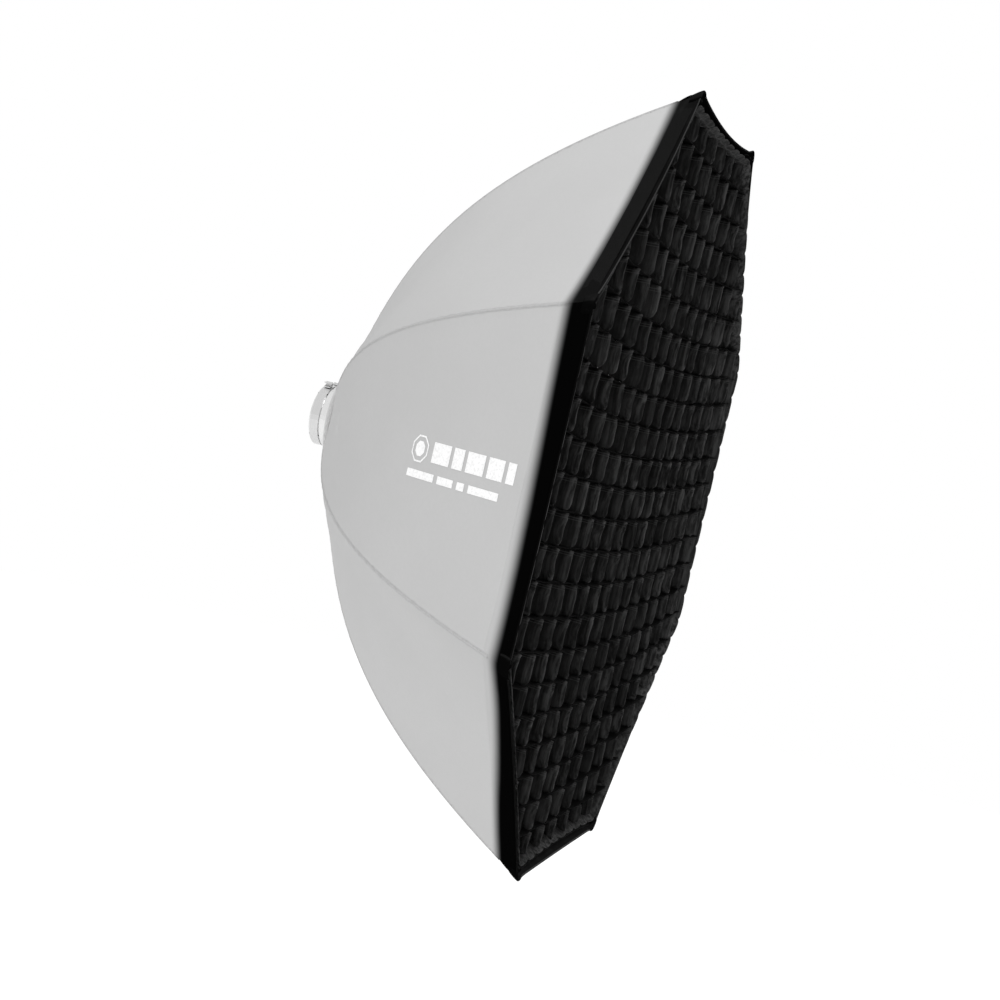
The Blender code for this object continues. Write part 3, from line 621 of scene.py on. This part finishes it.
# ---- shell ------------------------------------------------------------------------------------
MERIDIAN = [0.0]
for _row in range(SKIN_ROWS):
    MERIDIAN.append(MERIDIAN[-1] + (seam((_row + 1) / SKIN_ROWS) - seam(_row / SKIN_ROWS)).length)


def run_length(t):
    """The length along the seam from the drum to t."""
    spot = min(max(t, 0.0), 1.0) * SKIN_ROWS
    low = min(int(spot), SKIN_ROWS - 1)
    return MERIDIAN[low] + (MERIDIAN[low + 1] - MERIDIAN[low]) * (spot - low)


def gore_creases():
    """Soft creases that fan out from the drum in each gore, as (foot, tip, width, height)."""
    pick = random.Random(41)
    creases = []
    for side in range(SIDES):
        count = 5 if side == 4 else 3
        fan = []
        for i in range(count):
            lean = (i + 0.6) / count - 0.5
            foot = Vector((lean * 0.10 + pick.uniform(-0.01, 0.01), pick.uniform(0.01, 0.05)))
            tip = Vector((lean * 0.36 + pick.uniform(-0.03, 0.03), pick.uniform(0.26, 0.46)))
            fan.append((foot, tip, pick.uniform(0.007, 0.012), pick.uniform(0.0010, 0.0020)))
        creases.append(fan)
    return creases


CREASES = gore_creases()


def skin_lift(side, t, u, radius):
    """How far the cloth stands off the smooth gore: puckers at the seams, and soft creases."""
    across = (u - 0.5) * chord(radius)
    run = run_length(t)
    to_seam = min(u, 1 - u) * chord(radius)
    edge = -1 if u < 0.5 else 1
    lift = 0.0007 * math.exp(-to_seam / 0.020) \
        * math.sin(math.tau * run / 0.027 + 2.2 * ripple(run, edge, side, 9.0)) \
        * min(1.0, to_seam / 0.004)
    lift += 0.0016 * ripple(across, run, side + 11, 6.0) * math.sin(math.pi * u) ** 0.5
    here = Vector((across, run))
    for foot, tip, width, height in CREASES[side]:
        line = tip - foot
        share = (here - foot).dot(line) / line.length_squared
        if 0 < share < 1:
            off = (here - foot).cross(line.normalized()) / (width * (0.6 + share))
            lift += height * math.sin(math.pi * share) \
                * (math.exp(-off * off) - 0.6 * math.exp(-(off - 1.7) ** 2))
    return lift * min(1.0, 8 * (1 - t) + 0.15)


def skin_point(side, t, u, offset=0.0):
    """A point on the shell, t along the gore from its rear and u across it."""
    radius, depth = seam(t)
    normal = seam_normal(t)
    middle = corner_angle(side) + SIDE_ANGLE / 2
    outward = polar(normal.x, middle, normal.y)
    lift = skin_lift(side, t, u, radius) + offset
    point = side_point(radius, depth, side, u, SIDE_SAGS[side])
    return point + outward * lift


def build_skin():
    """The whole shell as one curved sheet over the rods, silver inside."""
    t_front = seam_at_depth(LIP_DEPTH - 0.003)
    sheets = Sheets()
    rows = []
    for i in range(SKIN_ROWS + 1):
        t = t_front * i / SKIN_ROWS
        row = []
        for side in range(SIDES):
            for j in range(SKIN_COLUMNS):
                row.append(skin_point(side, t, 0.5 - 0.5 * math.cos(math.pi * j / SKIN_COLUMNS)))
        rows.append(row)
    sheets.add(rows, closed=True)
    skin = sheets.build("shell_skin", SHELL, CLOTH, SILVER, 60)
    return finish_piece(skin, "box", "shell_cloth", *each("shell_panel"))


def ridge_point(side, t, across, lift):
    """A point beside the seam at a corner: across < 0 lies on the gore before it."""
    radius = seam(t).x
    share = abs(across) / chord(radius)
    if across < 0:
        return skin_point((side - 1) % SIDES, t, 1 - share, lift)
    return skin_point(side, t, share, lift)


def build_seams():
    """Felled seams over the rods, each with two rows of stitches."""
    strips = Sheets()
    stitches = Sheets()
    t_front = seam_at_depth(LIP_DEPTH - 0.002)
    profile = [(-1.0, -0.0002), (-0.96, 0.0003), (-0.72, 0.0004), (-0.62, 0.0001),
               (-0.5, 0.0006), (0.0, 0.0008), (0.5, 0.0006), (0.62, 0.0001),
               (0.72, 0.0004), (0.96, 0.0003), (1.0, -0.0002)]
    steps = 150
    for side in range(SIDES):
        rows = []
        for i in range(steps + 1):
            t = 0.004 + (t_front - 0.004) * i / steps
            widening = 1 + 0.05 * math.sin(i * 1.3 + side)
            rows.append([ridge_point(side, t, share * SEAM_HALF_WIDTH * widening, lift)
                         for share, lift in profile])
        strips.add(rows)
        count = int(run_length(t_front) / STITCH_PITCH)
        for i in range(1, count):
            for across in (-0.62, 0.62):
                t = 0.004 + (t_front - 0.004) * i / count
                t_end = t + 0.62 * (t_front - 0.004) / count
                add_stitch(stitches, side, t, t_end, across * SEAM_HALF_WIDTH)
    seams = strips.build("seam_strips", SEAM, 0.0)
    finish_piece(seams, "box", "shell_cloth")
    finish_piece(stitches.build("seam_stitches", THREAD, 0.0, None, 180), "box", "shell_cloth")


def add_stitch(sheets, side, t, t_end, across):
    """One stitch: a short arched thread that dips into the cloth at both ends."""
    rows = []
    for share, rise in ((0.0, -0.0002), (0.25, 0.0008), (0.75, 0.0008), (1.0, -0.0002)):
        here = t + (t_end - t) * share
        rows.append([ridge_point(side, here, across + spread, rise + crown)
                     for spread, crown in ((-0.0004, -0.0003), (0.0, 0.0003), (0.0004, -0.0003))])
    sheets.add(rows)


# ---- lip --------------------------------------------------------------------------------------
LIP_STEPS = 44


def lip_wrinkle(side, u, depth):
    """Slack folds that run slantwise across the lip between its two hems."""
    if not 0.004 < depth < 0.043:
        return 0.0
    window = math.sin(math.pi * (depth - 0.004) / 0.039)
    slant = u * 0.55 + depth * 1.4
    folds = ripple(slant, depth * 0.35, side + 31, 16.0)
    slack = 1.7 if side in (1, 2) else 0.9
    return window * slack * (0.0022 * folds + 0.0008 * ripple(slant, depth, side + 51, 55.0))


def loop_at(depth, offset, wrinkle=True):
    """One closed run of points round the lip, closer together near its corners."""
    loop = []
    for side in range(SIDES):
        for j in range(LIP_STEPS):
            u = 0.5 - 0.5 * math.cos(math.pi * j / LIP_STEPS)
            lift = lip_wrinkle(side, u, depth) if wrinkle else 0.0
            loop.append(rim_point(side, u, depth, offset + lift))
    return loop


def build_lip():
    """The black lip: a band that thins out on the shell behind, hemmed in front, and its inside."""
    outer = [(0.0550, -0.0010), (0.0520, 0.0003), (0.0490, 0.0006), (0.0460, 0.0008),
             (0.0430, 0.0010), (0.0410, 0.0012)]
    outer += [(0.0385 - 0.0026 * i, 0.0012) for i in range(12)]
    outer += [(0.0080, 0.0012), (0.0066, 0.0012), (0.0058, 0.0005), (0.0050, 0.0011),
              (0.0036, 0.0011), (0.0022, 0.0006)]
    sheets = Sheets()
    sheets.add([loop_at(depth, offset) for depth, offset in outer], closed=True)
    inner = [(0.0022, 0.0006), (0.0018, -0.0008), (0.0024, -0.0016), (0.0100, -0.0018),
             (0.0250, -0.0018), (0.0420, -0.0018)]
    sheets.add([loop_at(depth, offset, False) for depth, offset in inner], closed=True)
    lip = sheets.build("lip_band", LIP, 0.0, None, 55)
    finish_piece(lip, "box", "lip_cloth", "front_lip")


def build_piping():
    """A thin piping along the lip's front edge."""
    radius = 0.0015
    rows = []
    for i in range(9):
        angle = math.tau * i / 8
        rows.append(loop_at(0.0016 - radius * math.cos(angle),
                            -0.0002 + radius * math.sin(angle), False))
    sheets = Sheets()
    sheets.add(rows[::-1], closed=True)
    finish_piece(sheets.build("lip_piping", PIPING), "box", "lip_cloth")


def build_corners():
    """Webbing caps sewn over the lip's corners, where the rod tips end."""
    sheets = Sheets()
    reach = 0.021
    for side in range(SIDES):
        rows = []
        for depth, lift in ((0.0200, 0.0012), (0.0202, 0.0022), (0.0190, 0.0026), (0.0150, 0.0028),
                            (0.010, 0.0030), (0.004, 0.0028), (0.0008, 0.0022),
                            (-0.0006, 0.0006), (-0.0004, -0.0014), (0.0020, -0.0026)):
            row = []
            for j in range(17):
                share = j / 8 - 1
                edge = max(0.0, abs(share) - 0.88) / 0.12
                arc = share * reach * (1 - 0.25 * max(0.0, depth - 0.012) / 0.018)
                radius = seam_radius(depth)
                u = abs(arc) / chord(radius)
                panel, along = (side, u) if arc >= 0 else ((side - 1) % SIDES, 1 - u)
                row.append(rim_point(panel, along, max(depth, 0.0), lift - 0.0016 * edge)
                           + Vector((0, min(depth, 0.0), 0)))
            rows.append(row)
        sheets.add(rows)
    finish_piece(sheets.build("corner_caps", CORNER, 0.0007, None, 60), "box", "pocket_webbing")


# ---- grid -------------------------------------------------------------------------------------
def grid_reach(line, depth):
    """Half the grid's width along a row or column that far from the middle."""
    radius = seam_radius(depth) - GRID_CLEARANCE
    apothem = radius * SQUARE - 0.5 * GRID_SAG * chord(radius)
    if abs(line) > apothem:
        return -1.0
    return min(apothem, apothem * math.sqrt(2) - abs(line))


def grid_lines(count, pitch):
    return [(i - (count - 1) / 2) * pitch for i in range(count)]


def droop(x, z):
    """How far a level strip sags under its own weight at x."""
    reach = min(GRID_HALF_WIDTH, GRID_HALF_WIDTH * math.sqrt(2) - abs(z))
    return DROOP * max(0.0, reach * reach - x * x)


def belly(x, z):
    """How far the slack cloth stands forward along the grid's right-hand side."""
    reach = min(GRID_HALF_WIDTH, GRID_HALF_WIDTH * math.sqrt(2) - abs(z))
    share = min(1.0, max(0.0, (x / max(reach, 0.1) - BELLY_START) / (1 - BELLY_START)))
    return BELLY * share ** 1.5 * math.sqrt(max(0.0, 1 - (z / BELLY_HEIGHT) ** 2))


def wall_patch(sheets, low, high, x, pick):
    """One upright wall of a cell: a slack strip of cloth, fixed along its top and bottom."""
    bulge = pick.uniform(-0.0110, 0.0030)
    curl = pick.uniform(-0.0150, -0.0020)
    twist = pick.uniform(-0.0080, 0.0080)
    seed = pick.uniform(0, 900)
    corner = pick.uniform(0.004, 0.009)
    rows = []
    tall, deep = 14, 10
    for i in range(tall + 1):
        s = i / tall
        body = math.sin(math.pi * s)
        foot = max(0.0, (0.30 - s) / 0.30)
        head = max(0.0, (s - 0.75) / 0.25)
        front = WALL_DEPTHS[0] + corner * (1 - math.sqrt(1 - foot ** 2)) \
            + 0.0020 * head ** 2 + 0.0010 * ripple(s, 0, seed, 3.0)
        front -= belly(x, low)
        row = []
        for j in range(deep + 1):
            d = j / deep
            depth = front + (WALL_DEPTHS[1] - front) * d
            top = min(high - droop(x, high), grid_reach(x, depth))
            bottom = max(low - droop(x, low), -grid_reach(x, depth))
            open_share = max(0.0, 1 - d / 0.35)
            z = bottom + 0.0036 * open_share + (top - bottom - 0.0064 * open_share) * s
            z += 0.0016 * open_share * ripple(d, s, seed, 2.0)
            wrinkle = 0.0026 * body ** 0.5 * ripple(d * 4.6 + 0.5 * s, 0.9 * s, seed, 1.0)
            wrinkle += 0.0014 * ripple(d * 1.5, s * 7, seed + 5, 1.0)
            hem = -0.0006 if 0.86 < s < 0.97 else 0.0
            side = bulge * body * (0.5 + 0.5 * (1 - d)) + curl * (1 - d) ** 2 * body ** 0.4
            side += twist * (s - 0.5) * (1 - d) + wrinkle + hem
            row.append(Vector((x + side, FRONT_Y + depth, z)))
        rows.append(row)
    sheets.add(rows)


def build_grid():
    """The egg-crate grid: long level strips, slack upright walls between them, and a border."""
    pick = random.Random(7)
    xs = grid_lines(COLUMNS, COLUMN_PITCH)
    zs = grid_lines(ROWS, ROW_PITCH)
    walls = Sheets()
    middle_depth = sum(WALL_DEPTHS) / 2
    for x in xs:
        reach = grid_reach(x, middle_depth)
        edges = [-reach] + [z for z in zs if abs(z) < reach - 0.004] + [reach]
        for low, high in zip(edges, edges[1:]):
            if high - droop(x, high) - max(-reach, low - droop(x, low)) > 0.012:
                wall_patch(walls, low, high, x, pick)
    grid = walls.build("grid_walls", GRID, 0.0009, None, 60)
    finish_piece(grid, "grid", "grid_cloth", "grid")
    strips = Sheets()
    for k, z in enumerate(zs):
        add_level_strip(strips, k, z, xs, pick)
    finish_piece(strips.build("grid_strips", STRIP, 0.0010, None, 60), "grid", "grid_cloth")
    build_grid_border()


def add_level_strip(strips, k, z, xs, pick):
    """One level strip across the grid, which sags a little between the walls."""
    if grid_reach(z, 0.0) < 0.02:
        return
    sags = [pick.uniform(-0.0040, 0.0022) for _ in range(COLUMNS + 1)]
    rolls = [pick.uniform(-0.0035, 0.0035) for _ in range(COLUMNS + 1)]
    rows = []
    steps = 10 * (COLUMNS + 1)
    for i in range(steps + 1):
        share = 2 * i / steps - 1
        start = WALL_DEPTHS[0] + 0.0045 + 0.0015 * ripple(share, 0, k + 33, 9.0)
        start -= belly(share * GRID_HALF_WIDTH, z)
        row = []
        for j in range(7):
            d = j / 6
            depth = start + (WALL_DEPTHS[1] - start) * d
            x = share * grid_reach(z, depth)
            cell = (x - xs[0]) / COLUMN_PITCH + 1
            index = min(max(int(cell), 0), COLUMNS)
            body = math.sin(math.pi * (cell - int(cell))) if 0 <= cell < COLUMNS + 1 else 0.0
            drop = sags[index] * body + rolls[index] * body * (0.5 - d)
            drop += 0.0010 * ripple(x, d * 0.05, k + 71, 34.0)
            forward = 0.0012 * (1 - body) * (1 - d) + 0.0007 * ripple(x, 0, k + 91, 25.0)
            row.append(Vector((x, FRONT_Y + depth + forward, z + drop - droop(x, z))))
        rows.append(row)
    strips.add(rows)


def build_grid_border():
    """The border strip, sewn in scallops that stick to the hook tape inside the lip."""
    sheets = Sheets()
    depths = [0.0040, 0.0060, 0.0120, 0.0200, 0.0280, 0.0350, 0.0400]
    tabs = 10
    steps = 12
    loops = []
    for index, depth in enumerate(depths):
        d = index / (len(depths) - 1)
        loop = []
        for side in range(SIDES):
            for j in range(tabs * steps):
                u = j / (tabs * steps)
                phase = (u * tabs) % 1.0
                hump = math.sin(math.pi * phase)
                out = 0.0026 * hump ** 0.7 * (1 - 0.4 * d) + 0.0012 * ripple(u, d, side + 3, 22.0)
                back = depth + 0.0022 * (1 - hump) ** 3 * (1 - d) \
                    - 0.0060 * (1 - hump) ** 3 * d
                point = rim_point(side, u, back, out, GRID_SAG, GRID_CLEARANCE)
                point.y -= belly(point.x, point.z) * (1 - d)
                loop.append(point)
        loops.append(loop)
    sheets.add(loops[::-1], closed=True)
    finish_piece(sheets.build("grid_border", GRID, 0.0011, None, 60), "grid", "grid_cloth")


# ---- diffusers --------------------------------------------------------------------------------
def octagon_sheet(name, depth, outer, sag, sway):
    """A stretched octagon of thin cloth out to a corner radius, and that radius."""
    sheets = Sheets()
    rows = []
    for i in range(25):
        share = i / 24
        row = []
        for side in range(SIDES):
            for j in range(16):
                point = side_point(outer * max(share, 0.004), depth, side, j / 16, sag)
                lift = sway * (1 - share) ** 0.5 * ripple(point.x, point.z, 7, 2.2)
                lift += 0.0006 * ripple(point.x, point.z, 9, 18.0)
                row.append(point + Vector((0, lift, 0)))
        rows.append(row)
    sheets.add(rows[::-1], closed=True)
    return sheets.build(name, DIFFUSION, 0.0006, None, 60), outer


def build_diffusers():
    front, radius = octagon_sheet("front_diffuser_cloth", DIFFUSER_DEPTH,
                                  seam_radius(DIFFUSER_DEPTH) - DIFFUSER_CLEARANCE,
                                  GRID_SAG, 0.0015)
    finish_piece(front, "front_diffuser", "diffusion_cloth", "front_diffuser")
    low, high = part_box("inner_diffuser")
    inner, radius = octagon_sheet("inner_diffuser_cloth", low.y - FRONT_Y, INNER_RADIUS,
                                  INNER_SAG, 0.004)
    finish_piece(inner, "box", "diffusion_cloth", "inner_diffuser")
    build_tabs(low.y, (high.x - low.x) / 2 / SQUARE)


def build_tabs(y, reach):
    """Elastic tabs from the inner diffuser's corners out to the rods."""
    sheets = Sheets()
    for side in range(SIDES):
        angle = corner_angle(side)
        across = Vector((-math.sin(angle), 0, math.cos(angle)))
        rows = []
        for i in range(13):
            share = i / 12
            radius = TAB_START + (reach - TAB_START) * share
            width = TAB_HALF_WIDTH * (1 - 0.25 * math.sin(math.pi * share))
            lift = 0.0006 * math.sin(share * 40)
            rows.append([polar(radius, angle, y + 0.0008 + lift) + across * (width * k / 3)
                         for k in range(-3, 4)])
        sheets.add(rows)
    tabs = sheets.build("inner_diffuser_tabs", DIFFUSION, 0.0010, None, 60)
    finish_piece(tabs, "box", "diffusion_cloth")


# ---- drum -------------------------------------------------------------------------------------
DRUM_OUTLINE = [(0.1506, -0.0752), (0.1498, -0.0732), (0.1455, -0.0716), (0.1405, -0.0700),
                (0.1350, -0.0682), (0.1300, -0.0664), (0.1250, -0.0645), (0.1205, -0.0626),
                (0.1168, -0.0610), (0.1142, -0.0604), (0.1132, -0.0580), (0.1116, -0.0568),
                (0.1098, -0.0574), (0.1092, -0.0594), (0.1098, -0.0612)]
DRUM_FOLDS = 44


def build_drum():
    """The drum behind the shell: an octagon where it meets the gores, gathered round behind."""
    pick = random.Random(19)
    phases = [pick.uniform(-0.5, 0.5) for _ in range(DRUM_FOLDS)]
    sheets = Sheets()
    rows = []
    steps = 40
    last = len(DRUM_OUTLINE) - 1
    for index, (radius, y) in enumerate(DRUM_OUTLINE):
        share = min(1.0, index / 8)
        row = []
        for side in range(SIDES):
            for j in range(steps):
                flat = side_point(radius, y - FRONT_Y, side, j / steps, SIDE_SAGS[side])
                angle = math.atan2(flat.z, flat.x)
                reach = math.hypot(flat.x, flat.z)
                reach += (radius * (1 + SQUARE) / 2 - reach) * share
                turn = (angle / math.tau * DRUM_FOLDS) % DRUM_FOLDS
                fold = math.sin(math.tau * turn + phases[int(turn)] * math.sin(math.pi * (turn % 1)))
                depth = 0.0016 * share ** 2 * fold * (1 - 0.7 * max(0, index - 8) / (last - 8))
                slack = 0.0006 * ripple(angle * 0.12, y, 5, 14.0)
                row.append(polar(reach + depth * 0.3 + slack, angle, y + depth + slack))
        rows.append(row)
    sheets.add(rows[::-1], closed=True)
    drum = sheets.build("rear_drum", SHELL, 0.0009, None, 60)
    finish_piece(drum, "box", "collar_cloth", "rear_collar")


# ---- lock knob --------------------------------------------------------------------------------
KNOB_OUTLINE = [(0.0001, -0.0708), (0.0026, -0.0708), (0.0026, -0.0612), (0.0046, -0.0610),
                (0.0048, -0.0590), (0.0048, -0.0402), (0.0056, -0.0394), (0.0074, -0.0388),
                (0.0080, -0.0376), (0.0080, -0.0200), (0.0076, -0.0184), (0.0064, -0.0176),
                (0.0044, -0.0175), (0.0040, -0.0180), (0.0001, -0.0180)]
KNOB_FLUTES = 8


def build_knob():
    """The thumbscrew: a fluted head on a plain neck, and its screw through the plate."""
    low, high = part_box("lock_knob")
    centre = (low + high) / 2
    sheets = Sheets()
    rows = []
    for radius, y in KNOB_OUTLINE:
        row = []
        for i in range(96):
            angle = math.tau * i / 96
            flute = 0.0
            if radius > 0.0050:
                flute = 0.0010 * (0.5 - 0.5 * math.cos(angle * KNOB_FLUTES)) ** 2
            point = polar(radius - flute, angle, y)
            row.append(point + Vector((centre.x, 0, centre.z)))
        rows.append(row)
    sheets.add(rows[::-1], closed=True)
    finish_piece(sheets.build("lock_knob_fluted", KNOB, 0.0, None, 35), "lock_knob",
                 "knob_plastic", "lock_knob")


# ---- printed mark -----------------------------------------------------------------------------
MARK_START_T = 0.690
MARK_SIDE = 3


def mark_point(along, up, lift=0.0004):
    """A point on the printed gore: along towards the front, up along the gore's width."""
    start = run_length(MARK_START_T)
    t = MARK_START_T
    for _ in range(12):
        t += (start + along - run_length(t)) / MERIDIAN[-1]
    u = 0.5 - up / chord(seam(t).x)
    return skin_point(MARK_SIDE, t, u, lift)


def mark_block(sheets, along, up, steps=8):
    """A plain printed block between two distances along and two heights."""
    rows = []
    for i in range(steps + 1):
        x = along[0] + (along[1] - along[0]) * i / steps
        rows.append([mark_point(x, up[0] + (up[1] - up[0]) * j / 3) for j in range(4)])
    sheets.add(rows[::-1])


def build_mark():
    """A generic printed mark: an eight-sided ring and plain bars, in place of any lettering."""
    sheets = Sheets()
    centre = Vector((0.026, 0.003))
    for outer, inner in ((0.0240, 0.0208), (0.0135, 0.0001)):
        rows = []
        for i in range(SIDES * 3 + 1):
            angle = SIDE_ANGLE / 2 + math.tau * i / (SIDES * 3)
            part = (angle - SIDE_ANGLE / 2) % SIDE_ANGLE - SIDE_ANGLE / 2
            stretch = SQUARE / math.cos(part)
            rows.append([mark_point(centre.x + r * stretch * math.cos(angle),
                                    centre.y + r * stretch * math.sin(angle))
                         for r in (outer, inner)])
        sheets.add(rows[::-1])
    for start, end in ((0.062, 0.108), (0.116, 0.142), (0.150, 0.192), (0.200, 0.236),
                       (0.244, 0.262)):
        mark_block(sheets, (start, end), (-0.014, 0.020))
    for start, end in ((0.004, 0.078), (0.088, 0.128), (0.138, 0.156), (0.166, 0.236)):
        mark_block(sheets, (start, end), (-0.045, -0.032))
    mark = sheets.build("printed_mark", INK, 0.0)
    finish_piece(mark, "box", "shell_cloth")


# ---- everything -------------------------------------------------------------------------------
def main():
    build_camera()
    build_floor()
    build_light()
    paint_nodes()
    build_skin()
    build_seams()
    build_lip()
    build_piping()
    build_corners()
    build_grid()
    build_diffusers()
    build_drum()
    build_knob()
    build_mark()


main()
